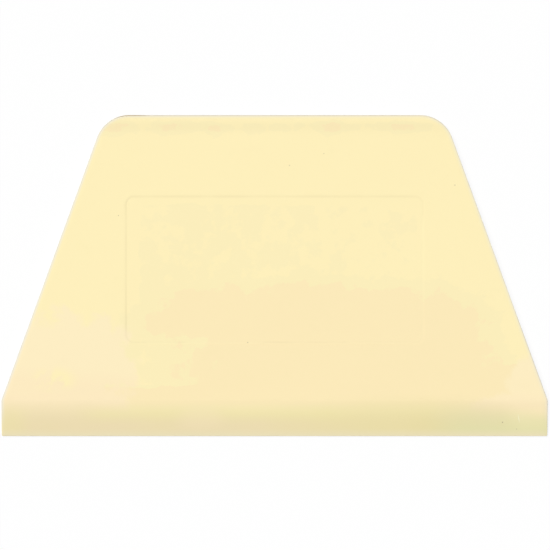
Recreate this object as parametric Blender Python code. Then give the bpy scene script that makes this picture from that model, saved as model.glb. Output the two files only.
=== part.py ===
"""A dough scraper: one moulded plastic plate with a bevelled scraping edge.

The scraper lies on its flat underside with +Z up. X runs along the scraping edge,
which faces -Y, and the grip edge faces +Y. The origin is on the underside, in the
middle of the width and of the depth. Lengths are in metres.
"""

import math

import bmesh
import bpy
from mathutils import Matrix, Vector

MM = 0.001

# The outline, seen from above
BLADE_WIDTH = 216.0 * MM  # along the scraping edge
PLATE_DEPTH = 127.0 * MM  # from the scraping edge to the grip edge
GRIP_WIDTH = 133.9 * MM  # along the grip edge, before its corners are rounded
BLADE_LENGTH = 14.3 * MM  # the bevelled stretch, which is also where the sides run straight
GRIP_CORNER_RADIUS = 13.5 * MM  # the corners that sit in the palm
SHOULDER_RADIUS = 4.0 * MM  # where a slanted side turns into the blade's straight side
BLADE_CORNER_RADIUS = 0.6 * MM  # nearly square, to reach into the corner of a tray

# The section, seen from the side
PLATE_THICKNESS = 2.4 * MM
BLADE_TIP_THICKNESS = 0.7 * MM
BLADE_TIP_STRAIGHT = 3.8 * MM  # the end of the bevel runs straight, the rest of it curves
GRIP_BEAD_RISE = 0.2 * MM  # how much thicker the grip edge is than the plate
GRIP_BEAD_CREST = 1.9 * MM  # the level top of that bead
GRIP_BEAD_FLANK = 5.2 * MM  # its slope down to the plate
RIM_RADIUS = 0.15 * MM  # the fillet all round, above and below

# The label field, a step down in the upper face that light shows and a finger barely feels
FIELD_WIDTH = 117.6 * MM
FIELD_DEPTH = 57.9 * MM
FIELD_TO_GRIP_EDGE = 32.1 * MM
FIELD_CORNER_RADIUS = 3.2 * MM
FIELD_STEP = 0.04 * MM

# How finely the curves are cut
ARC_CHORD = 0.8 * MM
ARC_STEPS_AT_LEAST = 3
BEVEL_STEPS = 8
BEAD_STEPS = 4
RIM_STEPS = 3
RIM_SHARE_OF_TIP = 0.4  # at most, so that the tip has room for both fillets
SMOOTH_ANGLE = math.radians(30)

# A cut nearer than this to a corner goes through the corner
NEAR = 0.05 * MM

# How far the cutter reaches past the face that it cuts
OVERREACH = 2.0 * MM

CREAM = (0.97, 0.83, 0.49, 1.0)
CREAM_ROUGHNESS = 0.6

# Places that follow from the sizes
EDGE_Y = -PLATE_DEPTH / 2
GRIP_Y = PLATE_DEPTH / 2
SHOULDER_Y = EDGE_Y + BLADE_LENGTH
CREST_Y = GRIP_Y - GRIP_BEAD_CREST
FLANK_Y = CREST_Y - GRIP_BEAD_FLANK


def clear_scene():
    for old in list(bpy.data.objects):
        bpy.data.objects.remove(old, do_unlink=True)


def rounded(corners):
    """The outline through corners given as (x, y, radius), each turned into an arc."""
    points = []
    for i, (x, y, radius) in enumerate(corners):
        corner = Vector((x, y))
        back = (Vector(corners[i - 1][:2]) - corner).normalized()
        ahead = (Vector(corners[(i + 1) % len(corners)][:2]) - corner).normalized()
        half_opening = back.angle(ahead) / 2
        centre = corner + (back + ahead).normalized() * radius / math.sin(half_opening)
        spoke = corner + back * radius / math.tan(half_opening) - centre
        turn = math.copysign(math.pi - 2 * half_opening, ahead.cross(back))
        steps = max(ARC_STEPS_AT_LEAST, math.ceil(abs(turn) * radius / ARC_CHORD))
        for step in range(steps + 1):
            points.append(centre + Matrix.Rotation(turn * step / steps, 2) @ spoke)
    return points


def plate_outline():
    """A trapezoid whose sides turn straight beside the blade."""
    right = [
        (BLADE_WIDTH / 2, EDGE_Y, BLADE_CORNER_RADIUS),
        (BLADE_WIDTH / 2, SHOULDER_Y, SHOULDER_RADIUS),
        (GRIP_WIDTH / 2, GRIP_Y, GRIP_CORNER_RADIUS),
    ]
    left = [(-x, y, radius) for x, y, radius in reversed(right)]
    return rounded(right + left)


def field_outline():
    """A rectangle with rounded corners, in the middle of the width."""
    high = GRIP_Y - FIELD_TO_GRIP_EDGE
    low = high - FIELD_DEPTH
    side = FIELD_WIDTH / 2
    corners = [(side, low), (side, high), (-side, high), (-side, low)]
    return rounded([(x, y, FIELD_CORNER_RADIUS) for x, y in corners])


def face_height(y):
    """The height of the upper face at y: bevel, level plate, then the bead at the grip."""
    if y < SHOULDER_Y:
        # The slope grows as the square root of the way from the shoulder, then holds.
        curve = BLADE_LENGTH - BLADE_TIP_STRAIGHT
        tip_slope = (PLATE_THICKNESS - BLADE_TIP_THICKNESS) / (curve * 2 / 3 + BLADE_TIP_STRAIGHT)
        along = SHOULDER_Y - y
        share = min(1.0, along / curve)
        drop = tip_slope * (curve * share**1.5 * 2 / 3 + max(0.0, along - curve))
        return PLATE_THICKNESS - drop
    if y > FLANK_Y:
        # The flank is half a wave, level where it meets the plate and the crest.
        share = min(1.0, (y - FLANK_Y) / GRIP_BEAD_FLANK)
        return PLATE_THICKNESS + GRIP_BEAD_RISE * (1 - math.cos(math.pi * share)) / 2
    return PLATE_THICKNESS


def face_lines():
    """The places along Y where the upper face changes its slope."""
    curve = BLADE_LENGTH - BLADE_TIP_STRAIGHT
    # Squared shares of the curve make the slope grow by the same amount from line to line.
    bevel = [SHOULDER_Y - curve * (step / BEVEL_STEPS) ** 2 for step in range(BEVEL_STEPS + 1)]
    bead = [FLANK_Y + GRIP_BEAD_FLANK * step / BEAD_STEPS for step in range(BEAD_STEPS + 1)]
    return bevel + bead


def extrude_outline(outline, low, high):
    """A bmesh slab with this outline between two heights."""
    shape = bmesh.new()
    floor = shape.faces.new([shape.verts.new((x, y, low)) for x, y in outline])
    carried = bmesh.ops.extrude_face_region(shape, geom=[floor])["geom"]
    ceiling = [part for part in carried if isinstance(part, bmesh.types.BMVert)]
    bmesh.ops.translate(shape, verts=ceiling, vec=(0, 0, high - low))
    bmesh.ops.recalc_face_normals(shape, faces=shape.faces)
    return shape


def fillet_rims(shape, radius):
    """Round the edges between the flat faces and the wall."""
    rims = [edge for edge in shape.edges if edge.verts[0].co.z == edge.verts[1].co.z]
    bmesh.ops.bevel(
        shape,
        geom=rims,
        offset=radius,
        offset_type="OFFSET",
        affect="EDGES",
        segments=RIM_STEPS,
        profile=0.5,
    )


def shape_upper_face(shape):
    """Cut the slab across at each slope change, then lift or lower its upper half."""
    for y in face_lines():
        everything = shape.verts[:] + shape.edges[:] + shape.faces[:]
        bmesh.ops.bisect_plane(
            shape, geom=everything, dist=NEAR, plane_co=(0, y, 0), plane_no=(0, 1, 0)
        )
    for vert in shape.verts:
        if vert.co.z > PLATE_THICKNESS / 2:
            vert.co.z += face_height(vert.co.y) - PLATE_THICKNESS


def add_object(name, shape):
    mesh = bpy.data.meshes.new(name)
    shape.to_mesh(mesh)
    shape.free()
    mesh.shade_smooth()
    mesh.set_sharp_from_angle(angle=SMOOTH_ANGLE)
    made = bpy.data.objects.new(name, mesh)
    bpy.context.collection.objects.link(made)
    return made


def plastic(name, colour, roughness):
    made = bpy.data.materials.new(name)
    made.use_nodes = True
    shader = made.node_tree.nodes["Principled BSDF"]
    shader.inputs["Base Color"].default_value = colour
    shader.inputs["Roughness"].default_value = roughness
    shader.inputs["Metallic"].default_value = 0.0
    made.diffuse_color = colour
    return made


def make_plate():
    """The plate with its bevel, bead and rim fillets, before the label field is cut."""
    shape = extrude_outline(plate_outline(), 0.0, PLATE_THICKNESS)
    fillet_rims(shape, min(RIM_RADIUS, BLADE_TIP_THICKNESS * RIM_SHARE_OF_TIP))
    shape_upper_face(shape)
    return add_object("scraper_plate", shape)


def make_field_cutter():
    """The space over the label field, from its floor to clear above the plate."""
    floor = PLATE_THICKNESS - FIELD_STEP
    ceiling = PLATE_THICKNESS + OVERREACH
    cutter = add_object("field_cutter", extrude_outline(field_outline(), floor, ceiling))
    cutter.hide_render = True
    cutter.display_type = "WIRE"
    return cutter


def make_scraper():
    plate = make_plate()
    plate.data.materials.append(plastic("cream_plastic", CREAM, CREAM_ROUGHNESS))
    label_field = plate.modifiers.new("label_field", "BOOLEAN")
    label_field.object = make_field_cutter()
    label_field.operation = "DIFFERENCE"
    label_field.solver = "EXACT"


clear_scene()
make_scraper()
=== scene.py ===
# %% [markdown]
# # A dough scraper, made as one moulded plate
#
# The object is a baker's scraper: a trapezoid of cream plastic, 216 mm along the
# scraping edge, which thins in a long bevel to cut and lift dough. It is one moulding,
# so the whole lesson is about one surface and one finish. Both reward care: on so plain
# a thing, the eye has only the light on its curves to go by.
#
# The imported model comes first. It is the fixed frame: its box says how large the
# finished surface may be, and its one body, root, carries what is made here.

# %% Load the frame
import math

import bpy
import numpy as np
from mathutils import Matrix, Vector


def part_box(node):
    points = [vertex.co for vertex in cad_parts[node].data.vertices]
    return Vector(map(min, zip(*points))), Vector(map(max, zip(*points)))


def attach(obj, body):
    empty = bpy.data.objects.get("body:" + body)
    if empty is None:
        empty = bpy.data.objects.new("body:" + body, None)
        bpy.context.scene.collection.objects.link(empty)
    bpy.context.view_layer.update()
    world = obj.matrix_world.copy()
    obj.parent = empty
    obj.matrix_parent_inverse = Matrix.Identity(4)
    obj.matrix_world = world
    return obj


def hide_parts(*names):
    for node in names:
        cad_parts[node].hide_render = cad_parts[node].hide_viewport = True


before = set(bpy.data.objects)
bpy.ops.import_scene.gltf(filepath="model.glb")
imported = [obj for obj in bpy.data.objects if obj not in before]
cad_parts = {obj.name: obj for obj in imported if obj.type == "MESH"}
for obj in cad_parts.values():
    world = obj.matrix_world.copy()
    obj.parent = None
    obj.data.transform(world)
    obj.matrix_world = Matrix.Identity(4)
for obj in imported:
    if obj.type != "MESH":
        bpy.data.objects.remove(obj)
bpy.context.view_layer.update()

MM = 0.001
low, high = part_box("scraper_plate")
print("plate, mm:", [round(side / MM, 2) for side in high - low])

# %% [markdown]
# ## The camera
#
# The photograph is taken to look straight down on the plate. The sides of its label
# field stay parallel, so it wasn't tilted and close by. A slight tilt from far away would
# keep them parallel too, and nothing in the picture rules that out. So the camera has a
# long lens, 1.3 m up. Its length follows from how much of the picture's width the blade
# fills, by similar triangles: lens / sensor = blade in the picture / picture * distance /
# blade.

# %% Camera at the photograph's angle
PHOTO_SIDE = 550  # pixels, both ways
BLADE_PIXELS = 546.4  # how wide the scraping edge is in the photograph
CAMERA_DISTANCE = 1.3  # from the upper face
AIM_X = 0.18 * MM  # the plate is not quite in the middle of the picture
AIM_Y = 0.28 * MM
SENSOR = 36.0  # mm


def add_object(name, data):
    """A new object in the scene, at the origin, with a camera, a mesh or a lamp as its data."""
    made = bpy.data.objects.new(name, data)
    bpy.context.scene.collection.objects.link(made)
    return made


camera = add_object("camera", bpy.data.cameras.new("camera"))
bpy.context.scene.camera = camera
camera.data.sensor_width = SENSOR
camera.data.lens = SENSOR * (BLADE_PIXELS / PHOTO_SIDE) * CAMERA_DISTANCE / (high.x - low.x)
camera.location = (AIM_X, AIM_Y, high.z + CAMERA_DISTANCE)  # unturned, it looks straight down
print("lens, mm:", round(camera.data.lens, 1))

# %% [markdown]
# ## The outline as a path
#
# A good surface starts from a good outline. The right-hand edge runs from the scraping
# edge to the grip edge through three rounded corners: the nearly square blade corner,
# the shoulder where the slanted side begins, and the large corner that sits in the palm.
# The left-hand edge is its mirror.
#
# Each corner is an arc that touches both of its sides, so the path is known from the
# corners' places and radii alone. Along with each point the path keeps the direction
# that points out of the plate there. With it, the same path can be drawn in by any
# distance, which the rim's fillet will need.

# %% Sizes of the outline
BLADE_WIDTH = high.x - low.x
GRIP_WIDTH = 133.9 * MM
BLADE_LENGTH = 14.3 * MM
BLADE_CORNER_RADIUS = 0.6 * MM
SHOULDER_RADIUS = 4.0 * MM
GRIP_CORNER_RADIUS = 13.5 * MM

EDGE_Y = low.y
GRIP_Y = high.y
SHOULDER_Y = EDGE_Y + BLADE_LENGTH
SIDE_LEAN = math.atan2((BLADE_WIDTH - GRIP_WIDTH) / 2, GRIP_Y - SHOULDER_Y)
CORNER_X = GRIP_WIDTH / 2 - GRIP_CORNER_RADIUS * math.tan((math.pi / 2 - SIDE_LEAN) / 2)
CORNER_Y = GRIP_Y - GRIP_CORNER_RADIUS  # with CORNER_X, the middle of the large corner's arc
print("the slanted sides lean in by", round(math.degrees(SIDE_LEAN), 1), "degrees")

# %% A way to space points finely in one place and widely in another


def graded(*stretches):
    """Points along a line. Each stretch is (start, end, spacing), cut into equal steps."""
    runs = [
        np.linspace(start, end, max(1, round(abs(end - start) / spacing)), endpoint=False)
        for start, end, spacing in stretches
    ]
    return np.append(np.concatenate(runs), stretches[-1][1])


# %% The label field's place decides where the grid has to be fine
FIELD_WIDTH = 117.6 * MM
FIELD_DEPTH = 57.9 * MM
FIELD_TO_GRIP_EDGE = 32.1 * MM
FIELD_CORNER_RADIUS = 3.2 * MM
FIELD_MIDDLE_Y = GRIP_Y - FIELD_TO_GRIP_EDGE - FIELD_DEPTH / 2
FIELD_LOW = FIELD_MIDDLE_Y - FIELD_DEPTH / 2
FIELD_HIGH = FIELD_MIDDLE_Y + FIELD_DEPTH / 2
FIELD_BAND = 7.0 * MM  # the fine stretch reaches this far in from the field's edge
FIELD_MARGIN = 0.8 * MM  # and this far out

COARSE = 1.6 * MM  # between rows or columns on the plain face
FINE = 0.2 * MM  # where the field's edge or the plate's side needs it
BEVEL_CELL = 0.7 * MM  # between rows on the bevel
ARC_STEP = math.radians(3.5)
BLADE_ARC_STEP = 4 * ARC_STEP  # enough for so small a corner

# %% Arcs for the corners, and rows for the slanted side


def arc(centre, radius, start, end, step=ARC_STEP):
    """Points on a circle and the outward directions there: centre + radius (cos a, sin a),
    with the angle a going from start to end in three or more equal steps."""
    angle = np.linspace(start, end, max(3, round((end - start) / step)) + 1)
    out = np.stack([np.cos(angle), np.sin(angle)], axis=1)
    return np.array(centre) + radius * out, out


def slanted_rows():
    """Places along Y for the rows beside a slanted side, fine where the field's ends are."""
    return graded(
        (SHOULDER_Y + COARSE, FIELD_LOW - FIELD_MARGIN, COARSE),
        (FIELD_LOW - FIELD_MARGIN, FIELD_LOW + FIELD_BAND, FINE),
        (FIELD_LOW + FIELD_BAND, FIELD_HIGH - FIELD_BAND, COARSE),
        (FIELD_HIGH - FIELD_BAND, FIELD_HIGH + FIELD_MARGIN, FINE),
        (FIELD_HIGH + FIELD_MARGIN, CORNER_Y, COARSE),
    )


# %% The right-hand edge, point by point


def right_hand_edge():
    """Places and outward directions from the scraping edge, up the side, to the grip edge."""
    blade_arc = arc(
        (BLADE_WIDTH / 2 - BLADE_CORNER_RADIUS, EDGE_Y + BLADE_CORNER_RADIUS),
        BLADE_CORNER_RADIUS, -math.pi / 2, 0.0, BLADE_ARC_STEP,
    )
    shoulder_start = SHOULDER_Y - SHOULDER_RADIUS * math.tan(SIDE_LEAN / 2)
    shoulder_middle = (BLADE_WIDTH / 2 - SHOULDER_RADIUS, shoulder_start)
    shoulder_arc = arc(shoulder_middle, SHOULDER_RADIUS, 0.0, SIDE_LEAN)
    grip_arc = arc((CORNER_X, CORNER_Y), GRIP_CORNER_RADIUS, SIDE_LEAN, math.pi / 2)

    # Between the arcs, rows lie on the straight stretches.
    blade_y = graded((blade_arc[0][-1, 1], shoulder_start, BEVEL_CELL))[1:-1]
    blade_side = np.stack([np.full_like(blade_y, BLADE_WIDTH / 2), blade_y], axis=1)
    slant_y = slanted_rows()
    between_arcs = (slant_y > shoulder_arc[0][-1, 1]) & (slant_y < grip_arc[0][0, 1])
    slant_y = slant_y[between_arcs]
    slant_x = GRIP_WIDTH / 2 + (GRIP_Y - slant_y) * math.tan(SIDE_LEAN)
    slant_side = np.stack([slant_x, slant_y], axis=1)

    lean = np.array([math.cos(SIDE_LEAN), math.sin(SIDE_LEAN)])
    places = [blade_arc[0], blade_side, shoulder_arc[0], slant_side, grip_arc[0]]
    outward = [
        blade_arc[1], np.tile([1.0, 0.0], (len(blade_y), 1)), shoulder_arc[1],
        np.tile(lean, (len(slant_y), 1)), grip_arc[1],
    ]
    return np.concatenate(places), np.concatenate(outward)


side_place, side_out = right_hand_edge()
side_length = np.linalg.norm(np.diff(side_place, axis=0), axis=1).sum()
print(len(side_place), "rows; the side is", round(side_length / MM, 1), "mm long")

# %% [markdown]
# ## A grid that fits the outline
#
# Each point of the right-hand edge starts a row of the grid that runs straight across
# to its mirror on the left. The columns have to follow two things at once: the label
# field, whose sides are straight, and the plate's own slanted sides. So the inner
# columns keep fixed distances from the middle, packed closely where the field's edge
# will be. The outermost ones keep fixed distances from the side, and those between
# share out what is left.
#
# The grid stops short of the outline by the rim's radius, because the fillet takes over
# there.

# %% Rows and columns
RIM_RADIUS = 0.15 * MM
SIDE_BAND = 1.6 * MM  # the stretch beside the rim where the face eases down
INNER_REACH = FIELD_WIDTH / 2 + FIELD_MARGIN
OUTER_SHARE_AT_LEAST = 0.12  # of a row's half width, where the row is short


def half_row(half_width):
    """Places across the right half of each row: fixed distances from the middle, then
    equal shares, then fixed distances from the side."""
    field_side = FIELD_WIDTH / 2
    inner = graded(
        (0.0, field_side - FIELD_BAND, COARSE),
        (field_side - FIELD_BAND, INNER_REACH, FINE),
    )
    outer_count = round((BLADE_WIDTH / 2 - INNER_REACH) / COARSE)
    share = np.linspace(0.0, 1.0, outer_count + 1)[1:]
    from_side = graded((SIDE_BAND, 0.0, FINE))[1:]
    reach = np.minimum(INNER_REACH, half_width * (1 - OUTER_SHARE_AT_LEAST))
    near = inner * (reach / INNER_REACH)[:, None]
    far = reach[:, None] + (half_width - SIDE_BAND - reach)[:, None] * share
    return np.hstack([near, far, half_width[:, None] - from_side])


inset = side_place - RIM_RADIUS * side_out
right_half = half_row(inset[:, 0])
grid_x = np.hstack([-right_half[:, :0:-1], right_half])
grid_y = np.broadcast_to(inset[:, 1:2], grid_x.shape)
print("grid:", grid_x.shape[0], "rows of", grid_x.shape[1], "points")

# %% [markdown]
# ## The upper face
#
# Seen from the side the plate has three parts. The blade is a convex bevel: its slope
# grows quickly at the shoulder and then ever more slowly, as the square root of the way
# from there, and holds for the last few millimetres, a straight wedge. The body is
# level. Along the grip edge it swells by a fifth of a millimetre, a bead that the
# fingertips find without looking.
#
# The bevel is the darker band along the scraping edge, and the flank of the bead is the faint
# stripe along the grip edge. About half of each is light on a slope, and that half comes from the
# shape. The rest is painted shade in the plastic's colour, which the material adds further down.

# %% Heights along the plate
BLADE_TIP_THICKNESS = 0.7 * MM
BLADE_TIP_STRAIGHT = 3.8 * MM
BEAD_RISE = 0.2 * MM
BEAD_CREST = 1.9 * MM
BEAD_FLANK = 5.2 * MM
PLATE_THICKNESS = high.z - BEAD_RISE


def bevel_drop(y):
    """How far the bevel lies below the plate. At the share t of the curved stretch c the
    slope is s sqrt(t) and the drop 2/3 s c t^1.5. Past it the slope stays s."""
    curve = BLADE_LENGTH - BLADE_TIP_STRAIGHT
    tip_slope = (PLATE_THICKNESS - BLADE_TIP_THICKNESS) / (2 / 3 * curve + BLADE_TIP_STRAIGHT)
    along = np.clip(SHOULDER_Y - y, 0.0, None)
    share = np.minimum(along / curve, 1.0)
    return tip_slope * (2 / 3 * curve * share**1.5 + np.clip(along - curve, 0.0, None))


def bead_rise(y):
    """Half a cosine wave up the flank, then level to the grip edge."""
    share = np.clip((y - (GRIP_Y - BEAD_CREST - BEAD_FLANK)) / BEAD_FLANK, 0.0, 1.0)
    return BEAD_RISE * (1 - np.cos(math.pi * share)) / 2


blade_y = np.array([EDGE_Y, EDGE_Y + BLADE_TIP_STRAIGHT, SHOULDER_Y])
print("thickness along the bevel, mm:", (PLATE_THICKNESS - bevel_drop(blade_y)) / MM)

# %% [markdown]
# ## The label field
#
# The faint rectangle is read as a step down, where a bakery might have its name. Its depth can't be
# measured in the photograph. Four hundredths of a millimetre were kept, under this lamp, and are
# far too low to see as depth. What shows is the light on the short slope: dark on the sides that
# face away from the lamp, pale on the others.
#
# The signed distance to a rounded rectangle, negative inside, gives the step its shape in one
# formula, corners included. A bell curve of the same distance paints shade at the foot of the step,
# where it meets the field. The line is clear along the top and the left, which face away from the
# lamp. Along the right and the bottom it is nearly gone, but for two stretches, so the bell is only
# high enough there to cancel the pale light on the slope. It is kept as an attribute of the mesh
# for the material to read.

# %% Distance to the field's edge
FIELD_STEP = 0.04 * MM
FIELD_SLOPE = 0.6 * MM  # how wide the step's slope is, half of it on each side of the edge


def field_distance(x, y):
    """Signed distance to the rounded rectangle: the length of what sticks out past an
    inner rectangle, minus the corner radius, and the nearer side's distance inside it."""
    over_x = np.abs(x) - (FIELD_WIDTH / 2 - FIELD_CORNER_RADIUS)
    over_y = np.abs(y - FIELD_MIDDLE_Y) - (FIELD_DEPTH / 2 - FIELD_CORNER_RADIUS)
    outside = np.hypot(np.maximum(over_x, 0), np.maximum(over_y, 0))
    inside = np.minimum(np.maximum(over_x, over_y), 0)
    return outside + inside - FIELD_CORNER_RADIUS


def smooth_share(value, start, end):
    """0 before start, 1 after end, and between them 3t^2 - 2t^3, level at both ends."""
    t = np.clip((value - start) / (end - start), 0.0, 1.0)
    return t * t * (3 - 2 * t)


# %% Painted shade at the foot of the step
STEP_FOOT = -0.2 * FIELD_SLOPE  # where most of it lies, counted from the field's edge
STEP_SHADE_REACH = 0.35 * MM
TOP_STEP_SHADE_REACH = 0.6 * MM  # along the top the same shade spreads wider
LEAST_STEP_SHADE = 0.4  # along the right and the bottom
LEAST_FROM = -0.25  # how soon it falls to that, as a share of the side's length
SHADED_STRETCHES = ((-49.0 * MM, -34.0 * MM), (-11.0 * MM, 30.0 * MM))  # along the bottom
STRETCH_MORE = 0.65
STRETCH_FADE = 3.0 * MM


def bell(distance, reach):
    """A bell curve, exp(-(distance / reach)^2)."""
    return np.exp(-((distance / reach) ** 2))


def step_foot_shade(x, y):
    """Painted shade: a bell curve about the foot of the step, lower where it is wider. Its height
    is 1 where upward is positive, along the top and the left, and falls with it past the corners.
    Each shaded stretch adds a bar with smooth ends, below the field's middle."""
    topness = smooth_share(y, FIELD_HIGH - FIELD_CORNER_RADIUS, FIELD_HIGH)
    reach = STEP_SHADE_REACH + (TOP_STEP_SHADE_REACH - STEP_SHADE_REACH) * topness
    line = bell(field_distance(x, y) - STEP_FOOT, reach) * STEP_SHADE_REACH / reach
    upward = (y - FIELD_MIDDLE_Y) / FIELD_DEPTH - x / FIELD_WIDTH
    height = LEAST_STEP_SHADE + (1 - LEAST_STEP_SHADE) * smooth_share(upward, LEAST_FROM, 0.0)
    for first, last in SHADED_STRETCHES:
        bar = smooth_share(x, first, first + STRETCH_FADE)
        bar -= smooth_share(x, last - STRETCH_FADE, last)
        height += STRETCH_MORE * bar * (y < FIELD_MIDDLE_Y)
    return line * height


# %% [markdown]
# ## What moulding leaves behind
#
# A moulded plate is never quite flat. It shrinks as it cools, a little unevenly, and a
# few long waves of some hundredths of a millimetre stay in its faces. They are what
# makes the shine wander on a plate that looks flat. Long sine waves at odd angles are
# enough, faded out before the bevel and the bead. The sides cool first and pull in, so
# the face also eases down beside them, which draws a soft line there.
#
# Below, the pins that pushed the plate out of its mould leave four shallow discs.

# %% The upper face's height
WAVES = (  # height, length along X, length along Y, and where the wave starts
    (0.022 * MM, 97.0 * MM, 163.0 * MM, 0.4),
    (0.014 * MM, -61.0 * MM, 74.0 * MM, 2.1),
    (0.008 * MM, 41.0 * MM, 33.0 * MM, 4.4),
)
WAVE_FADE = 6.0 * MM
SIDE_EASE = 0.04 * MM


def cooling_waves(x, y):
    """A sum of sine waves, each height * sin(2 pi (x / length_x + y / length_y) + start)."""
    waves = np.zeros_like(x)
    for height, length_x, length_y, start in WAVES:
        waves += height * np.sin(2 * math.pi * (x / length_x + y / length_y) + start)
    return waves


def side_ease(from_side):
    """A parabola that is deepest at the side and level where the band ends."""
    return SIDE_EASE * np.clip(1 - from_side / SIDE_BAND, 0.0, 1.0) ** 2


def upper_face(x, y, from_side):
    """Plate, less the bevel, the field's step and the ease, plus the bead and the waves,
    which fade out before the bevel and the bead."""
    step = FIELD_STEP * smooth_share(-field_distance(x, y), -FIELD_SLOPE / 2, FIELD_SLOPE / 2)
    level = smooth_share(y, SHOULDER_Y, SHOULDER_Y + WAVE_FADE)
    level *= 1 - smooth_share(y, GRIP_Y - 2 * WAVE_FADE, GRIP_Y - WAVE_FADE)
    shape = PLATE_THICKNESS - bevel_drop(y) + bead_rise(y) - step - side_ease(from_side)
    return shape + level * cooling_waves(x, y)


from_side = right_half[:, -1:] - np.abs(grid_x)
top_z = upper_face(grid_x, grid_y, from_side)
print("upper face, mm:", round(top_z.min() / MM, 3), "to", round(top_z.max() / MM, 3))

# %% The underside's height
PIN_RADIUS = 2.5 * MM
PIN_MARK_DEPTH = 0.06 * MM
PIN_MARK_EDGE = 0.5 * MM
PIN_X = FIELD_WIDTH / 2 - FIELD_BAND / 2
PIN_Y = FIELD_DEPTH / 2 - FIELD_BAND / 2


def underside(x, y):
    """Flat, with a shallow disc over each of the four pins, mirrored about the middle."""
    from_pin = np.hypot(np.abs(x) - PIN_X, np.abs(y - FIELD_MIDDLE_Y) - PIN_Y)
    return PIN_MARK_DEPTH * (1 - smooth_share(from_pin, PIN_RADIUS - PIN_MARK_EDGE, PIN_RADIUS))


bottom_z = underside(grid_x, grid_y)
print("pin marks, mm deep:", round(bottom_z.max() / MM, 3))

# %% [markdown]
# ## The rim
#
# The two faces end in one closed loop of points, a fillet's radius inside the outline.
# The rim is a profile carried along that loop: a quarter circle out and down from the
# upper face, the wall, and a quarter circle in to the underside. Each ring of it is the
# loop itself, moved outwards and down, so a few lines of array arithmetic make them all.

# %% The loop where the faces end
rows, columns = grid_x.shape
grid_index = np.arange(rows * columns).reshape(rows, columns)
loop = np.concatenate([
    grid_index[0, :], grid_index[1:, -1], grid_index[-1, -2::-1], grid_index[-2:0:-1, 0],
])

mirror = np.array([-1.0, 1.0])
loop_out = np.concatenate([
    np.tile([0.0, -1.0], (columns, 1)),
    side_out[1:],
    np.tile([0.0, 1.0], (columns - 1, 1)),
    (side_out * mirror)[-2:0:-1],
])
print("the loop has", len(loop), "points")

# %% Rings of the rim
RIM_STEPS = 8

quarter_turn = np.linspace(0, math.pi / 2, RIM_STEPS + 1)[1:]
there_and_back = np.concatenate([np.sin(quarter_turn), np.sin(quarter_turn)[::-1]])


def rim_rings():
    """Rings of points from the upper loop to the lower: out by r sin a, in height by
    r (1 - cos a) from each face, with the angle a going to a quarter turn and back."""
    place = np.stack([grid_x.ravel()[loop], grid_y.ravel()[loop]], axis=1)
    sink = RIM_RADIUS * (1 - np.cos(quarter_turn))
    upper = top_z.ravel()[loop][None, :] - sink[:, None]
    lower = bottom_z.ravel()[loop][None, :] + sink[::-1, None]
    flat = place[None] + RIM_RADIUS * there_and_back[:, None, None] * loop_out[None]
    return np.dstack([flat, np.concatenate([upper, lower])[..., None]])


rings = rim_rings()
print("rim:", rings.shape[0], "rings")

# %% [markdown]
# ## The edge line
#
# A thin grey line of painted shade runs round the plate, strongest along the grip edge, with a
# brown stretch at its left corner. Inside the line the plastic is greyer and bluer for nearly a
# millimetre. Both follow the edge, so they are worked out here, where the distance from the edge is
# known, and kept as attributes too.

# %% How far a point lies from the edge


def distance_in(x, y, from_side):
    """The nearer of the side and the grip edge or, in the arc of the large corner, its
    radius less the distance from its middle."""
    nearest = np.minimum(from_side, inset[-1, 1] - y)
    over_x, over_y = np.abs(x) - CORNER_X, y - CORNER_Y
    in_arc = (over_x > 0) & (over_y > over_x * math.tan(SIDE_LEAN))
    in_corner = GRIP_CORNER_RADIUS - RIM_RADIUS - np.hypot(over_x, over_y)
    return np.where(in_arc, in_corner, nearest)


from_edge = distance_in(grid_x, grid_y, from_side)
print("widest distance from the edge, mm:", round(from_edge.max() / MM, 1))

# %% How strong the edge line's painted shade and the greyer band are
EDGE_SHADE_REACH = 0.22 * MM  # how far the edge line's painted shade fades into the upper face
GRIP_TONE = 0.5
GRIP_FROM = 0.85 * GRIP_Y  # from here the sides' tone grows towards the grip edge's
LEFT_TONE = 0.52  # the sides' share of the grip edge's tone
RIGHT_TONE, RIGHT_LOW_TONE = 0.2, 0.45  # above and below these places
RIGHT_HIGH, RIGHT_LOW = -5.0 * MM, -30.0 * MM
WALL_TONE = 0.6  # the tone at the bottom of the wall, as a share of that at its top
BROWN_X = -56.7 * MM  # the brown stretch, at the left corner
BROWN_REACH = 5.8 * MM
GREYER_REACH = 0.8 * MM
GREYER_LEFT, GREYER_RIGHT = 0.77, 0.45


def away_from_scraping_edge(y):
    """0 at the scraping edge and 1 from the shoulder on."""
    return smooth_share(y, EDGE_Y, SHOULDER_Y)


def edge_shade_tone(x, y, from_edge):
    """Painted shade along the edge: a bell of the distance from the edge, strongest at the grip,
    weaker on the sides and doubled at the brown stretch, which is a bell with a flatter top, by a
    fourth power."""
    at_grip = smooth_share(y, GRIP_FROM, GRIP_Y)
    browner = at_grip * np.exp(-(((x - BROWN_X) / BROWN_REACH) ** 4))
    lowness = smooth_share(-y, -RIGHT_HIGH, -RIGHT_LOW)
    right = RIGHT_TONE + (RIGHT_LOW_TONE - RIGHT_TONE) * lowness
    side = np.where(x < 0, LEFT_TONE, right)
    share = side + (1 - side) * at_grip + browner
    return GRIP_TONE * away_from_scraping_edge(y) * share * bell(from_edge, EDGE_SHADE_REACH)


def greyer_tone(x, y, from_edge):
    """The greyer band: a wider bell, which weakens from the left to the right."""
    share = smooth_share(x, -BLADE_WIDTH / 2, BLADE_WIDTH / 2)
    tone = GREYER_LEFT + (GREYER_RIGHT - GREYER_LEFT) * share
    return tone * away_from_scraping_edge(y) * bell(from_edge, GREYER_REACH)


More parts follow.
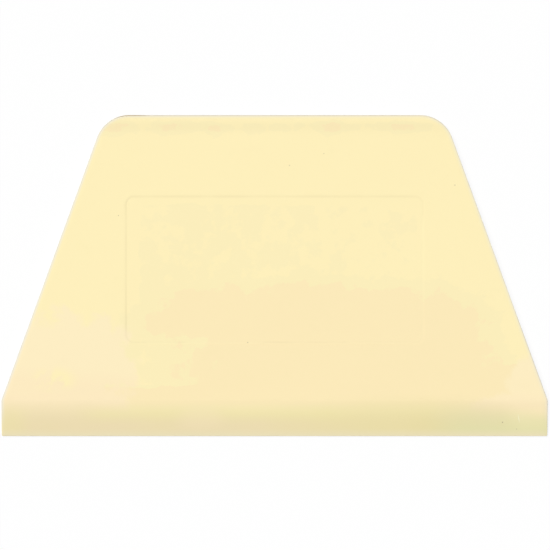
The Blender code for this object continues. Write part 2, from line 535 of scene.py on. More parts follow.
edge_shade_face = edge_shade_tone(grid_x, grid_y, from_edge)
down_wall = np.linspace(1.0, WALL_TONE, len(rings))[:, None]
edge_shade_rim = edge_shade_tone(rings[..., 0], rings[..., 1], 0.0) * down_wall
greyer_face = greyer_tone(grid_x, grid_y, from_edge)
greyer_rim = greyer_tone(rings[..., 0], rings[..., 1], 0.0)
print("strongest tones, handled and rubbed:", edge_shade_rim.max().round(2), greyer_rim.max().round(2))

# %% [markdown]
# ## One closed mesh
#
# The upper grid, the rings and the lower grid are numbered one after the other, and the
# faces between them are found from those numbers. The lower grid's faces turn the other
# way, because the underside is seen from below.

# %% Faces between rows of points


def quads_between(first, second):
    """A strip of four-sided faces between two rows of point numbers."""
    return np.stack([first[:-1], first[1:], second[1:], second[:-1]], axis=1)


def grid_quads(index):
    """All four-sided faces of a grid of point numbers, anticlockwise seen from above."""
    corners = [index[:-1, :-1], index[:-1, 1:], index[1:, 1:], index[1:, :-1]]
    return np.stack(corners, axis=-1).reshape(-1, 4)


top_points = np.stack([grid_x, grid_y, top_z], axis=-1).reshape(-1, 3)
bottom_points = np.stack([grid_x, grid_y, bottom_z], axis=-1).reshape(-1, 3)
ring_points = rings.reshape(-1, 3)
points = np.concatenate([top_points, ring_points, bottom_points])

first_ring = len(top_points)
first_bottom = first_ring + len(ring_points)
ring_index = first_ring + np.arange(len(ring_points)).reshape(rings.shape[:2])
loops = np.concatenate([loop[None], ring_index, (first_bottom + loop)[None]])
closed = np.hstack([loops, loops[:, :1]])
rim_quads = np.concatenate([
    quads_between(lower, upper) for upper, lower in zip(closed[:-1], closed[1:])
])
quads = np.concatenate([
    grid_quads(grid_index), rim_quads, grid_quads(first_bottom + grid_index)[:, ::-1],
])
print(len(points), "points and", 2 * len(quads), "triangles")

# %% Put the surface into a mesh


def mesh_piece(name, points, quads):
    """A smooth mesh object at the origin from arrays of points and four-sided faces."""
    mesh = bpy.data.meshes.new(name)
    mesh.vertices.add(len(points))
    mesh.vertices.foreach_set("co", points.astype(np.float32).ravel())
    mesh.loops.add(quads.size)
    mesh.loops.foreach_set("vertex_index", quads.astype(np.int32).ravel())
    mesh.polygons.add(len(quads))
    mesh.polygons.foreach_set("loop_start", np.arange(0, quads.size, 4, dtype=np.int32))
    mesh.polygons.foreach_set("loop_total", np.full(len(quads), 4, dtype=np.int32))
    mesh.polygons.foreach_set("use_smooth", np.ones(len(quads), dtype=bool))
    mesh.update(calc_edges=True)
    return add_object(name, mesh)


scraper = mesh_piece("moulded_plate", points, quads)
print("valid mesh:", not scraper.data.validate(verbose=True))

# %% Keep the step's painted shade and the rim's tones as attributes


def keep_attribute(piece, name, *values):
    """A number at every point: the values in the order of the points, and 0 after them."""
    numbers = np.zeros(len(piece.data.vertices), dtype=np.float32)
    known = np.concatenate([array.ravel() for array in values])
    numbers[:known.size] = known
    piece.data.attributes.new(name, "FLOAT", "POINT").data.foreach_set("value", numbers)


# The painted shade at the field's step, the edge line's painted shade and the greyer band
keep_attribute(scraper, "step_foot_shade", step_foot_shade(grid_x, grid_y))
keep_attribute(scraper, "edge_shade_rim", edge_shade_face, edge_shade_rim)
keep_attribute(scraper, "greyer_rim", greyer_face, greyer_rim)
print("attributes kept at", len(points), "points")

# %% [markdown]
# ## The plastic
#
# The scraper is matt plastic, taken to be polypropylene. It looks like one even cream, and yet a
# flat colour would look wrong, because the real one is a little different everywhere. Each of these
# shifts is a mask between 0 and 1 that mixes in its own colour, and several of them are painted
# shade: on the bevel, on the bead's flank, over the lower middle, at the label field's step and
# along the edge. A painted picture could do the same, but masks made from the object's own
# coordinates need no picture, stay sharp from close by and stay on the plastic in every view.
#
# A few helpers keep the node trees readable: one line here is one node there.

# %% Small helpers for shader nodes


def new_material(name):
    """A material, its node tree and the shader that it begins with."""
    material = bpy.data.materials.new(name)
    material.use_nodes = True
    return material, material.node_tree, material.node_tree.nodes["Principled BSDF"]


def add_node(tree, kind, inputs=(), **settings):
    """A shader node. Settings are its properties; inputs pairs a socket with a value or
    with another node's output."""
    made = tree.nodes.new(kind)
    for name, value in settings.items():
        setattr(made, name, value)
    for socket, value in inputs:
        if isinstance(value, bpy.types.NodeSocket):
            tree.links.new(value, made.inputs[socket])
        else:
            made.inputs[socket].default_value = value
    return made


def calculate(tree, operation, first, second=0.0):
    """One step of arithmetic; each of the two values is a socket or a number."""
    inputs = [(0, first), (1, second)]
    return add_node(tree, "ShaderNodeMath", inputs, operation=operation).outputs[0]


def combined(tree, operation, values):
    """Several values made one, by the same step of arithmetic with each."""
    result = values[0]
    for value in values[1:]:
        result = calculate(tree, operation, result, value)
    return result


def product(tree, *values):
    """All the values multiplied."""
    return combined(tree, "MULTIPLY", values)


def highest(tree, *values):
    """The highest of the values."""
    return combined(tree, "MAXIMUM", values)


def apart(tree, value, middle):
    """How far a value is from a middle one, on either side."""
    return calculate(tree, "ABSOLUTE", calculate(tree, "SUBTRACT", value, middle))


# %% Noise, ranges, colours and attributes


def noise(tree, vector, scale, detail=2.0, roughness=0.5):
    """A soft random field about 0.5; scale is features per metre."""
    inputs = [("Vector", vector), ("Scale", scale), ("Detail", detail), ("Roughness", roughness)]
    return add_node(tree, "ShaderNodeTexNoise", inputs).outputs["Fac"]


def remap(tree, value, start, end, at_start=0.0, at_end=1.0, smooth=False):
    """Stretch the range from start to end onto the other two numbers, and hold the ends."""
    sockets = ("From Min", "From Max", "To Min", "To Max")
    inputs = [("Value", value), *zip(sockets, (start, end, at_start, at_end))]
    kind = "SMOOTHSTEP" if smooth else "LINEAR"
    return add_node(tree, "ShaderNodeMapRange", inputs, interpolation_type=kind).outputs["Result"]


def mix_colour(tree, share, first, second):
    """Blend two colours; each is a socket or a written colour."""
    inputs = [(0, share), (6, first), (7, second)]
    return add_node(tree, "ShaderNodeMix", inputs, data_type="RGBA").outputs[2]


def attribute(tree, name):
    """The number that the mesh keeps under this name."""
    return add_node(tree, "ShaderNodeAttribute", attribute_name=name).outputs["Fac"]


# %% [markdown]
# ## Two shapes for the masks
#
# A large area is a rounded hump: a value that is 1 in the middle and falls through 0 at
# the border. Pushing the value up and down by a noise frays that border. A small mark is
# an ellipse: a Mapping node moves the place to the ellipse's middle, turns it and divides
# by the two half lengths, so that the distance from the middle is 1 on its border.

# %% A rounded hump, and a way to fray it


def hump(tree, x, y, middle, reach):
    """1 in the middle, 0 on the border and less outside: 1 - (x / reach_x)^4 -
    (y / reach_y)^4, with x and y counted from the middle and y only upwards."""
    across = calculate(tree, "DIVIDE", calculate(tree, "SUBTRACT", x, middle[0]), reach[0])
    across = calculate(tree, "POWER", across, 4.0)
    up = calculate(tree, "DIVIDE", calculate(tree, "SUBTRACT", y, middle[1]), reach[1])
    up = calculate(tree, "POWER", highest(tree, up, 0.0), 4.0)
    return calculate(tree, "SUBTRACT", calculate(tree, "SUBTRACT", 1.0, across), up)


def ragged(tree, value, noise_value, amount):
    """Push a mask's value up and down by a noise, which frays its border."""
    push = product(tree, calculate(tree, "SUBTRACT", noise_value, 0.5), amount)
    return calculate(tree, "ADD", value, push)


# %% An ellipse
MARK_CORE = 0.3  # the share of its half lengths up to which a mark has its full colour


def mark(tree, place, middle, half, turn=0.0):
    """1 in the core of an ellipse, falling smoothly to 0 at its border."""
    inputs = [
        ("Vector", place), ("Location", (*middle, 0.0)), ("Rotation", (0.0, 0.0, turn)),
        ("Scale", (*half, 1.0)),
    ]
    local = add_node(tree, "ShaderNodeMapping", inputs, vector_type="TEXTURE").outputs["Vector"]
    away = add_node(tree, "ShaderNodeVectorMath", [(0, local)], operation="LENGTH")
    return remap(tree, away.outputs["Value"], 1.0, MARK_CORE, smooth=True)


# %% [markdown]
# ## Painted shade over the lower middle
#
# The lower middle is painted slightly darker and pinker, as shade, with a cloudy upper border, and
# so is a strip all along the top of the bevel. Between the two, at the lower left, the shade breaks
# up into patches. Thin clouds of it lie over the label field, and a row of patches lies in the
# bead's flank.
#
# Each of these gives a value like the hump's, and the highest one counts. One noise frays them all,
# and reading the result at two levels gives a clouded fringe round the shaded core for nothing.

# %% Thin clouds over the label field
CLOUD_FIELD = (-52.0 * MM, 56.0 * MM)  # they lie between these places along X
CLOUD_TOP = 32.0 * MM
CLOUD_FADE = 5.0 * MM
CLOUD_DENSE, CLOUD_THIN = -0.4, -0.58  # the value at their left and right end


def cloud_level(tree, x, y):
    """A value about the clouded border's, so that only the noise's peaks lift it over, and
    1 less outside the field."""
    left_end = remap(tree, x, CLOUD_FIELD[0] - CLOUD_FADE, CLOUD_FIELD[0], smooth=True)
    right_end = remap(tree, x, CLOUD_FIELD[1] + CLOUD_FADE, CLOUD_FIELD[1], smooth=True)
    below = remap(tree, y, CLOUD_TOP, CLOUD_TOP - CLOUD_FADE, smooth=True)
    inside = product(tree, left_end, right_end, below)
    level = remap(tree, x, *CLOUD_FIELD, CLOUD_DENSE, CLOUD_THIN)
    return calculate(tree, "SUBTRACT", calculate(tree, "ADD", level, inside), 1.0)


# %% Painted shade in patches on the bead's flank
FLANK_Y = GRIP_Y - BEAD_CREST - 0.56 * BEAD_FLANK  # just below the middle of the flank
FLANK_END = 62.0 * MM
FLANK_DENSE, FLANK_THIN = -0.12, -0.4  # the value at its left and right end
FLANK_CORE, FLANK_REACH = 1.0 * MM, 9.0 * MM
FLANK_FALL = 2.0  # how much the value falls between these two distances
FLANK_FRAY = 2.6


def flank_level(tree, slow, x, y):
    """Painted shade on the bead's flank: a value between the two borders along it, lower to the
    right, pushed by a slow noise, and falling away on both sides of the flank and past its right
    end."""
    beside = remap(tree, apart(tree, y, FLANK_Y), FLANK_CORE, FLANK_REACH, 0.0, FLANK_FALL)
    past_end = remap(tree, x, FLANK_END, FLANK_END + CLOUD_FADE)
    level = remap(tree, x, -FLANK_END, FLANK_END, FLANK_DENSE, FLANK_THIN)
    level = ragged(tree, level, slow, FLANK_FRAY)
    return calculate(tree, "SUBTRACT", level, calculate(tree, "ADD", beside, past_end))


# %% Where the painted shade lies
SHADE_MIDDLE = (15.0 * MM, -50.0 * MM)
SHADE_REACH = (71.0 * MM, 45.5 * MM)
SHADE_FRAY = 1.6
MOTTLED = (-62.0 * MM, -12.0 * MM)  # along X, where its lower left end breaks up
MOTTLED_CAP = (-0.56, 0.5)  # the most that the value can be at these two places
CAPPED_BELOW, CAP_GONE = -25.0 * MM, -15.0 * MM  # along Y; between them it rises by 1
STRIP_TOP, STRIP_FULL = -36.5 * MM, -42.5 * MM  # the strip along the bevel fades in here
STRIP_VALUES = (-1.5, 0.5)  # at these two places
STRIP_LEAN = 0.06  # how fast its top rises to the right
CLOUDED_FROM = -0.5  # above this the plastic is clouded, above 0 it is fully shaded
SOFT = 0.08  # half the width of each border, in the mask's value
SHADE_FADE = 5.0 * MM  # below the shoulder it all fades out over this distance


def shade_masks(tree, cloud, slow, x, y):
    """Two masks of painted shade from one value: the clouded area and, inside it, the fully shaded
    one. The value is the highest of the hump and the clouds, capped at the lower left, the strip's
    and the flank's."""
    shaded = hump(tree, x, y, SHADE_MIDDLE, SHADE_REACH)
    cap = remap(tree, x, *MOTTLED, *MOTTLED_CAP)
    cap = calculate(tree, "ADD", cap, remap(tree, y, CAPPED_BELOW, CAP_GONE))
    capped = calculate(tree, "MINIMUM", highest(tree, shaded, cloud_level(tree, x, y)), cap)
    lean_y = calculate(tree, "SUBTRACT", y, product(tree, x, STRIP_LEAN))
    strip = remap(tree, lean_y, STRIP_TOP, STRIP_FULL, *STRIP_VALUES)
    value = highest(tree, capped, strip, flank_level(tree, slow, x, y))
    value = ragged(tree, value, cloud, SHADE_FRAY)
    above_bevel = remap(tree, y, SHOULDER_Y - SHADE_FADE, SHOULDER_Y, smooth=True)
    masks = [
        remap(tree, value, border - SOFT, border + SOFT, smooth=True)
        for border in (CLOUDED_FROM, 0.0)
    ]
    return [product(tree, mask, above_bevel) for mask in masks]


# %% [markdown]
# ## Areas that have been rubbed
#
# Both blade corners, rubbed the most, are paler. They are humps too, frayed by the same noise with
# the opposite sign, so that pale and shaded patches keep out of each other's way. Where the strip
# of painted shade runs through them, the pale is pinker. One patch at the left, a mark with the
# noise in it, has kept its colour.

# %% Where it has been rubbed pale
PALE_AREAS = (  # middle and reach of each
    ((-86.0 * MM, -50.0 * MM), (31.0 * MM, 37.0 * MM)),
    ((109.0 * MM, -50.0 * MM), (16.5 * MM, 21.0 * MM)),
    ((109.0 * MM, -58.0 * MM), (31.0 * MM, 12.0 * MM)),
)
PALE_FRAY = -3.0
PALE_FROM, PALE_FULL = -0.1, 0.5  # in the frayed value
PALE_ON_STRIP, PALE_ON_BEVEL = 0.9, 0.35  # how much of the pale shows there
PALE_FADE = 8.0 * MM  # below the shoulder, on its way to the bevel's share
KEPT_PLACE = (-87.0 * MM, -41.0 * MM)
KEPT_HALF = (11.0 * MM, 6.5 * MM)
KEPT_NOISE = (0.4, 0.5)  # the patch fades in between these levels of the noise


def pale_mask(tree, place, cloud, x, y):
    """The highest of the humps at both ends of the blade, with frayed borders, weaker on
    the strip and the bevel, less the patch that has kept its colour."""
    value = highest(tree, *(hump(tree, x, y, *area) for area in PALE_AREAS))
    value = ragged(tree, value, cloud, PALE_FRAY)
    rubbed = remap(tree, value, PALE_FROM, PALE_FULL, smooth=True)
    on_strip = remap(tree, y, STRIP_TOP, STRIP_FULL, 1.0, PALE_ON_STRIP)
    bevel_share = PALE_ON_BEVEL / PALE_ON_STRIP
    on_bevel = remap(tree, y, SHOULDER_Y, SHOULDER_Y - PALE_FADE, 1.0, bevel_share)
    kept = product(tree, mark(tree, place, KEPT_PLACE, KEPT_HALF), remap(tree, cloud, *KEPT_NOISE))
    pale = calculate(tree, "SUBTRACT", product(tree, rubbed, on_strip, on_bevel), kept)
    return highest(tree, pale, 0.0)


# %% Where the pale is pinker
PINKER_FROM, PINKER_FULL = -40.5 * MM, -46.5 * MM
PINKER_LEAN = 0.05  # how fast these places fall to the right


def pinker_mask(tree, x, y):
    """0 on the plain plastic and 1 where the rubbed areas lie on the strip of painted shade."""
    lean_y = calculate(tree, "ADD", y, product(tree, x, PINKER_LEAN))
    return remap(tree, lean_y, PINKER_FROM, PINKER_FULL)


# %% [markdown]
# ## Painted shade on the bevel
#
# The bevel is darker than its slope alone would make it, so the rest of its shade is painted into
# its colour. The painted shade is darkest right of the middle, begins higher up there, and stays
# light at the right end. Its colour drifts too: it is greyer on the left, yellower in the middle of
# the right half, and right of that greener the lower it lies. At the left end, and halfway down the
# bevel left of the middle, it is yellower, with one paler patch. Along the scraping edge itself it
# is greyer.
#
# So the painted shade has a few masks, all made alike: smooth steps along X, times one fade below a
# front that wanders along the shoulder. The underside has none of it.

# %% Where the painted shade on the bevel begins
FRONT_Y = SHOULDER_Y + 0.9 * MM  # the front's place at the left end
FRONT_STEPS_MM = (  # start and end of each step along X, and how far the front rises in it
    (-80.0, -62.0, -1.7), (-5.0, 52.0, 4.3), (72.0, 116.0, -8.6),
)
FRONT_WANDER = 5.0 * MM  # times a noise that stays within about 0.2 of its middle
FULL_Y = SHOULDER_Y - 8.2 * MM  # from here down the painted shade is full
UPPER_FACE_HEIGHTS = (0.1 * MM, 0.4 * MM)  # between these heights the underside ends and the upper face begins


def below_front(tree, drift, x, y):
    """0 above the front and 1 below the line where the film is full. The front is the sum
    of its smooth steps, pushed up and down by the noise."""
    front = FRONT_Y
    for start, end, rise in FRONT_STEPS_MM:
        step = remap(tree, x, start * MM, end * MM, 0.0, rise * MM, smooth=True)
        front = calculate(tree, "ADD", step, front)
    return remap(tree, y, ragged(tree, front, drift, FRONT_WANDER), FULL_Y, smooth=True)


# %% How dark the painted shade is
BEVEL_SHADE_MIDDLE = 76.0 * MM  # where it is darkest
BEVEL_SHADE_REACH = 30.0 * MM
BEVEL_SHADE_MOST, BEVEL_SHADE_REST = 0.85, 0.7
LESS_SHADE_FROM, LESS_SHADE_TO = 88.0 * MM, 100.0 * MM  # the right end has little of it
LESS_SHADE_SHARE = 0.05  # of the share that it would have there


def bevel_shade_mask(tree, below, x):
    """Painted shade: a hump along X on a high level, times the fade below the front."""
    off_middle = apart(tree, x, BEVEL_SHADE_MIDDLE)
    shade_share = remap(tree, off_middle, 0.0, BEVEL_SHADE_REACH, BEVEL_SHADE_MOST, BEVEL_SHADE_REST, smooth=True)
    lighter_end = remap(tree, x, LESS_SHADE_TO, LESS_SHADE_FROM, LESS_SHADE_SHARE, 1.0, smooth=True)
    return product(tree, shade_share, lighter_end, below)


# %% Where it is amber, and where it is green
AMBER_FROM, AMBER_FULL = -14.0 * MM, 38.0 * MM
AMBER_UNTIL, AMBER_END = 58.0 * MM, 82.0 * MM
AMBER_REST = 0.15  # what is left of it past there
AMBER_FRAY = 1.5
GREEN_FROM, GREEN_FULL = 56.0 * MM, 78.0 * MM
GREEN_HIGH, GREEN_LOW = 0.05, 0.85  # its share at the shoulder and at the edge


def amber_mask(tree, drift, x):
    """0 where the painted shade is grey and 1 where it is amber, with the noise mixed in."""
    rising = remap(tree, x, AMBER_FROM, AMBER_FULL, smooth=True)
    falling = remap(tree, x, AMBER_END, AMBER_UNTIL, AMBER_REST, 1.0, smooth=True)
    value = ragged(tree, product(tree, rising, falling), drift, AMBER_FRAY)
    return remap(tree, value, 0.0, 1.0)


def green_mask(tree, below, x, y):
    """The greener stretch of the painted shade, from right of the middle to the right end, stronger
    downwards.
    """
    right = remap(tree, x, GREEN_FROM, GREEN_FULL, smooth=True)
    deeper = remap(tree, y, SHOULDER_Y, EDGE_Y, GREEN_HIGH, GREEN_LOW)
    return product(tree, right, deeper, below)


# %% Where it is yellower, and where it is paler
YELLOW_X = (-82.0 * MM, -66.0 * MM, 14.0 * MM, 40.0 * MM)  # it comes and goes between these
YELLOW_Y, YELLOW_REACH = -54.8 * MM, 4.8 * MM
YELLOW_AT_LEFT = (-94.0 * MM, -104.0 * MM)  # and the left end's comes between these
YELLOW_SHARE = 0.4
PALER_PATCH_PLACE = (-29.0 * MM, -56.5 * MM)  # the paler patch
PALER_PATCH_HALF = (13.0 * MM, 6.5 * MM)
PALER_PATCH_SHARE = 0.35
BLADE_TIP_SHADE_REACH = 3.0 * MM  # how far up from the scraping edge the painted shade is greyer


def yellow_mask(tree, below, upper, x, y):
    """The yellower stretches of the painted shade: a smooth ridge halfway down the bevel, with soft
    ends, and the left end."""
    ridge = remap(tree, apart(tree, y, YELLOW_Y), YELLOW_REACH, 0.0, smooth=True)
    coming = remap(tree, x, YELLOW_X[0], YELLOW_X[1], smooth=True)
    going = remap(tree, x, YELLOW_X[3], YELLOW_X[2], smooth=True)
    middle = product(tree, ridge, coming, going, upper)
    left = product(tree, remap(tree, x, *YELLOW_AT_LEFT, smooth=True), below)
    return product(tree, highest(tree, middle, left), YELLOW_SHARE)


def paler_patch_mask(tree, place, upper):
    """The paler patch in the painted shade, on the upper face alone."""
    return product(tree, mark(tree, place, PALER_PATCH_PLACE, PALER_PATCH_HALF), upper, PALER_PATCH_SHARE)


# %% [markdown]
# ## Specks, a nick and the painted shade at the step
#
# A few dark specks sit in the plastic, and one light, thin nick crosses the bevel near its right
# end. A cell noise would scatter specks by itself, but these few sit at places of their own, so
# each is a mark. The painted shade along the label field's edge was worked out with the mesh, and a
# slow noise makes it patchy.

# %% Marks at places of their own
SPECKS_MM = (  # where each is, its radius, and how dark it is
    (90.2, -58.0, 0.38, 0.78), (-10.6, -26.4, 0.35, 0.6), (5.9, 43.6, 0.4, 0.36),
    (19.5, 48.3, 0.25, 0.6), (-61.7, 23.8, 0.25, 0.75), (71.3, 35.8, 0.44, 0.36),
    (95.8, -60.7, 0.29, 0.5),
)
NICK_PLACE = (96.6 * MM, -56.5 * MM)
NICK_HALF = (0.25 * MM, 2.3 * MM)  # half its width and half its length
NICK_TURN = math.radians(11)
NICK_SHARE = 0.7


def speck_mask(tree, place):
    """The strongest of the specks."""
    dots = []
    for x, y, radius, darkness in SPECKS_MM:
        dot = mark(tree, place, (x * MM, y * MM), (radius * MM, radius * MM))
        dots.append(product(tree, dot, darkness))
    return highest(tree, *dots)


def nick_mask(tree, place, upper):
    """The nick, on the upper face alone."""
    nick = mark(tree, place, NICK_PLACE, NICK_HALF, NICK_TURN)
    return product(tree, nick, upper, NICK_SHARE)


# %% Patchy painted shade at the step
STEP_SHADE_NOISE = (0.35, 0.6)
STEP_SHADE_SHARES = (0.05, 0.145)  # how much of it shows at these two levels of the noise


def step_shade_mask(tree, slow):
    """The painted shade that the mesh keeps at the field's step, times a share that follows the
    slow noise.
    """
    patchy = remap(tree, slow, *STEP_SHADE_NOISE, *STEP_SHADE_SHARES)
    return product(tree, attribute(tree, "step_foot_shade"), patchy)


# %% [markdown]
# ## Scuffs
#
# Pushing the bevel over a worktop leaves hair-thin marks across it. They are too fine to
# see as lines in the photograph, and they only take the last shine off the bevel. A
# noise that is stretched along Y gives them, and they change roughness and relief alone.

# %% Scuffs on the bevel
SCUFF_ACROSS = 1100.0  # scuffs per metre along the edge
SCUFF_ALONG = 60.0  # and their ends per metre the other way: long, thin marks
SCUFF_PEAKS = (0.56, 0.72)  # a scuff fades in between these levels of the noise


def scuff_mask(tree, place, y):
    """Hair-thin marks that cross the bevel, where it is pushed over the worktop."""
    inputs = [("Vector", place), ("Scale", (SCUFF_ACROSS, SCUFF_ALONG, SCUFF_ALONG))]
    stretched = add_node(tree, "ShaderNodeMapping", inputs).outputs["Vector"]
    hairs = remap(tree, noise(tree, stretched, 1.0, detail=3.0), *SCUFF_PEAKS)
    return product(tree, hairs, remap(tree, y, SHOULDER_Y, EDGE_Y, smooth=True))


# %% [markdown]
# ## The finished plastic
#
# Now the layers go on one another, from the plastic's own changes and its painted shade to what
# lies on it. The colours are close together: those of the plastic itself differ by a few
# hundredths, and the bevel's painted shade is a little darker. The surface is matt. A mould of this
# kind has a fine grain, so the roughness is high, the shine is half of what smooth plastic has, and
# a very weak bump keeps it from looking polished from close by.

# %% Colours, as the amounts of red, green and blue light, and 1 for solid
CREAM = (0.964, 0.842, 0.483, 1.0)
# Painted shade over the lower middle: its clouded fringe and its core
CREAM_CLOUDED = (0.942, 0.828, 0.481, 1.0)
CREAM_SHADED = (0.944, 0.797, 0.472, 1.0)
CREAM_PALE = (0.958, 0.825, 0.526, 1.0)
# The pale cream in painted shade
CREAM_PALE_SHADED = (0.952, 0.799, 0.52, 1.0)
# Painted shade on the bevel, in four hues
BEVEL_SHADE_GREY = (0.846, 0.715, 0.447, 1.0)
BEVEL_SHADE_AMBER = (0.82, 0.722, 0.377, 1.0)
BEVEL_SHADE_GREEN = (0.785, 0.775, 0.42, 1.0)
BEVEL_SHADE_YELLOW = (0.89, 0.805, 0.4, 1.0)
# Painted shade along the scraping edge, greyer than the rest of the bevel's
BLADE_TIP_SHADE = (0.87, 0.775, 0.51, 1.0)
CREAM_NICKED = (0.98, 0.93, 0.68, 1.0)
SPECK = (0.42, 0.34, 0.2, 1.0)
# Painted shade at the foot of the label field's step
STEP_SHADE = (0.55, 0.44, 0.24, 1.0)
RIM_GREYER = (0.856, 0.824, 0.711, 1.0)
# Painted shade along the edge line, grey and brown
EDGE_SHADE_GREY = (0.44, 0.43, 0.43, 1.0)
EDGE_SHADE_BROWN = (0.42, 0.3, 0.12, 1.0)

# %% Layer upon layer
CLOUD_SCALE, SLOW_SCALE, DRIFT_SCALE = 130.0, 70.0, 28.0  # features per metre


def base_colour(tree, place, x, y, z):
    """Plain cream, then one layer after the other: the painted shade over the lower middle, what
    has been rubbed pale, the bevel's painted shade, the nick and the specks, the painted shade at
    the field's step, the greyer band and the painted shade of the edge line."""
    cloud = noise(tree, place, CLOUD_SCALE, detail=6.0, roughness=0.62)
    slow = noise(tree, place, SLOW_SCALE)
    drift = noise(tree, place, DRIFT_SCALE, detail=3.0)
    clouded, shaded = shade_masks(tree, cloud, slow, x, y)
    upper = remap(tree, z, *UPPER_FACE_HEIGHTS)
    below = product(tree, below_front(tree, drift, x, y), upper)
    bevel_shade = mix_colour(tree, amber_mask(tree, drift, x), BEVEL_SHADE_GREY, BEVEL_SHADE_AMBER)
    pale = mix_colour(tree, pinker_mask(tree, x, y), CREAM_PALE, CREAM_PALE_SHADED)
    edge_shade = attribute(tree, "edge_shade_rim")
    edge_shade_colour = mix_colour(tree, edge_shade, EDGE_SHADE_GREY, EDGE_SHADE_BROWN)  # the stronger the painted shade, the browner
    layers = (
        (clouded, CREAM_CLOUDED),
        (shaded, CREAM_SHADED),
        (pale_mask(tree, place, cloud, x, y), pale),
        (bevel_shade_mask(tree, below, x), bevel_shade),
        (green_mask(tree, below, x, y), BEVEL_SHADE_GREEN),
        (yellow_mask(tree, below, upper, x, y), BEVEL_SHADE_YELLOW),
        (paler_patch_mask(tree, place, upper), CREAM_PALE_SHADED),
        (remap(tree, y, EDGE_Y + BLADE_TIP_SHADE_REACH, EDGE_Y), BLADE_TIP_SHADE),
        (nick_mask(tree, place, upper), CREAM_NICKED),
        (speck_mask(tree, place), SPECK),
        (step_shade_mask(tree, slow), STEP_SHADE),
        (attribute(tree, "greyer_rim"), RIM_GREYER),
        (edge_shade, edge_shade_colour),
    )
    colour = CREAM
    for share, layer in layers:
        colour = mix_colour(tree, share, colour, layer)
    return colour


# %% Cream polypropylene
SHINE = 0.25  # half of what smooth plastic has, because the mould's grain breaks it up
MATT = (0.56, 0.65)  # the least and the most of its roughness
MATT_NOISE = (0.3, 0.7)  # the levels of the noise that give them
MATT_SCALE = 160.0  # features per metre, here and below
SCUFF_DULL = 0.15  # how much rougher a scuff is
SCUFF_DEPTH = 0.6  # against the grain's height
GRAIN_SCALE = 3200.0
GRAIN_STRENGTH, GRAIN_HEIGHT = 0.25, 0.01 * MM


def cream_polypropylene():
    """The layered colour on matt plastic, whose roughness wanders and rises on scuffs, with
    grain and scuffs as its relief."""
    material, tree, shader = new_material("cream_polypropylene")
    place = add_node(tree, "ShaderNodeTexCoord").outputs["Object"]
    split = add_node(tree, "ShaderNodeSeparateXYZ", [("Vector", place)])
    x, y, z = (split.outputs[axis] for axis in "XYZ")
    tree.links.new(base_colour(tree, place, x, y, z), shader.inputs["Base Color"])
    shader.inputs["Specular IOR Level"].default_value = SHINE

    scuffs = scuff_mask(tree, place, y)
    uneven = remap(tree, noise(tree, place, MATT_SCALE, detail=3.0), *MATT_NOISE, *MATT)
    roughness = calculate(tree, "ADD", uneven, product(tree, scuffs, SCUFF_DULL))
    tree.links.new(roughness, shader.inputs["Roughness"])

    grain = noise(tree, place, GRAIN_SCALE)
    relief = calculate(tree, "SUBTRACT", grain, product(tree, scuffs, SCUFF_DEPTH))
    inputs = [("Strength", GRAIN_STRENGTH), ("Distance", GRAIN_HEIGHT), ("Height", relief)]
    bump = add_node(tree, "ShaderNodeBump", inputs)
    tree.links.new(bump.outputs["Normal"], shader.inputs["Normal"])
    return material


scraper.data.materials.append(cream_polypropylene())
print("the plastic has", len(scraper.active_material.node_tree.nodes), "shader nodes")

# %% [markdown]
# ## Floor, lamp and background
#
# The photograph is a cut-out on white, lit softly from the upper left. A white floor
# carries a weak shadow, and to the camera it also glows, so that it stays white without
# more light on the plate. It lies a hair below the plate, because two faces in one plane
# flicker. The lamp is of the kind that is endlessly far away, so it lights the whole
# plate evenly, as the photograph is lit, and the world fills the rest from all sides.

# %% Floor
FLOOR_SIDE = 6.0
FLOOR_Z = -0.02 * MM
FLOOR_WHITE = (0.93, 0.93, 0.93, 1.0)
FLOOR_ROUGHNESS = 0.9
FLOOR_GLOW = 0.92  # the share of the floor's look that is plain white and not lit

corner_signs = np.array([[-1, -1], [1, -1], [1, 1], [-1, 1]])
floor_corners = np.column_stack([corner_signs * FLOOR_SIDE / 2, np.full(4, FLOOR_Z)])
floor = mesh_piece("floor", floor_corners, np.array([[0, 1, 2, 3]]))


def seen_directly(tree):
    """1 for what the camera, a reflection or clear material shows, and 0 for lighting."""
    path = add_node(tree, "ShaderNodeLightPath").outputs
    ways = ("Is Camera Ray", "Is Glossy Ray", "Is Transmission Ray")
    return highest(tree, *(path[way] for way in ways))


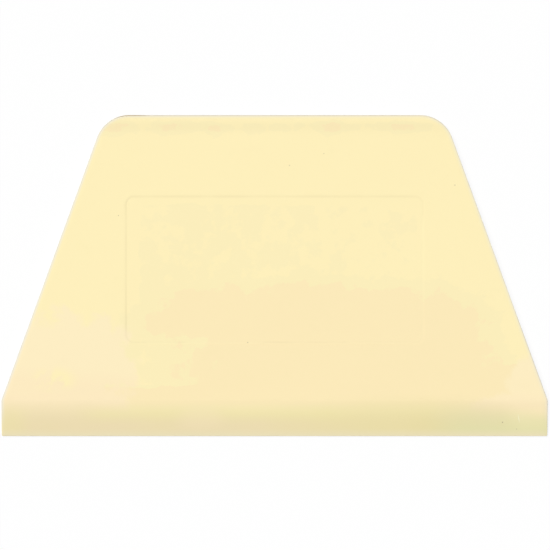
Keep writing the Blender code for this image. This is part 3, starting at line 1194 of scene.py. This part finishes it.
def white_floor():
    """A white that is partly lit, to carry the shadow, and partly glows where it is seen."""
    material, tree, shader = new_material("white_floor")
    shader.inputs["Base Color"].default_value = FLOOR_WHITE
    shader.inputs["Roughness"].default_value = FLOOR_ROUGHNESS
    glow = add_node(tree, "ShaderNodeEmission").outputs["Emission"]
    share = product(tree, seen_directly(tree), FLOOR_GLOW)
    inputs = [(0, share), (1, shader.outputs["BSDF"]), (2, glow)]
    mixed = add_node(tree, "ShaderNodeMixShader", inputs)
    tree.links.new(mixed.outputs["Shader"], tree.nodes["Material Output"].inputs["Surface"])
    return material


floor.data.materials.append(white_floor())
print("floor:", FLOOR_SIDE, "m square,", -FLOOR_Z / MM, "mm below the plate")

# %% Lamp and world
LAMP_ELEVATION = math.radians(48)
LAMP_AZIMUTH = math.radians(50)  # to the left of the grip edge, seen from above
LAMP_ANGLE = math.radians(30)  # how large the lamp looks, which makes the shadows soft
LAMP_STRENGTH = 3.45  # watts on a square metre that faces the lamp
WORLD_FILL = 0.2

lamp = add_object("soft_lamp", bpy.data.lights.new("soft_lamp", "SUN"))
lamp.data.angle = LAMP_ANGLE
lamp.data.energy = LAMP_STRENGTH
lamp_way = Vector((
    -math.sin(LAMP_AZIMUTH) * math.cos(LAMP_ELEVATION),
    math.cos(LAMP_AZIMUTH) * math.cos(LAMP_ELEVATION),
    math.sin(LAMP_ELEVATION),
))
lamp.location = lamp_way  # anywhere will do, as only the way it faces counts
lamp.rotation_euler = lamp_way.to_track_quat("Z", "Y").to_euler()
print("towards the lamp:", [round(step, 2) for step in lamp_way])

world = bpy.data.worlds.new("white_room")
world.use_nodes = True
bpy.context.scene.world = world
sky = world.node_tree.nodes["Background"]
sky.inputs["Color"].default_value = (1.0, 1.0, 1.0, 1.0)
strength = remap(world.node_tree, seen_directly(world.node_tree), 0.0, 1.0, WORLD_FILL, 1.0)
world.node_tree.links.new(strength, sky.inputs["Strength"])

bpy.context.scene.view_settings.view_transform = "Standard"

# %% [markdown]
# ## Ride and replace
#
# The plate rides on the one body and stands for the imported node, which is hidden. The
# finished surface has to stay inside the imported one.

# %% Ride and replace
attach(scraper, "root")
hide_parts("scraper_plate")
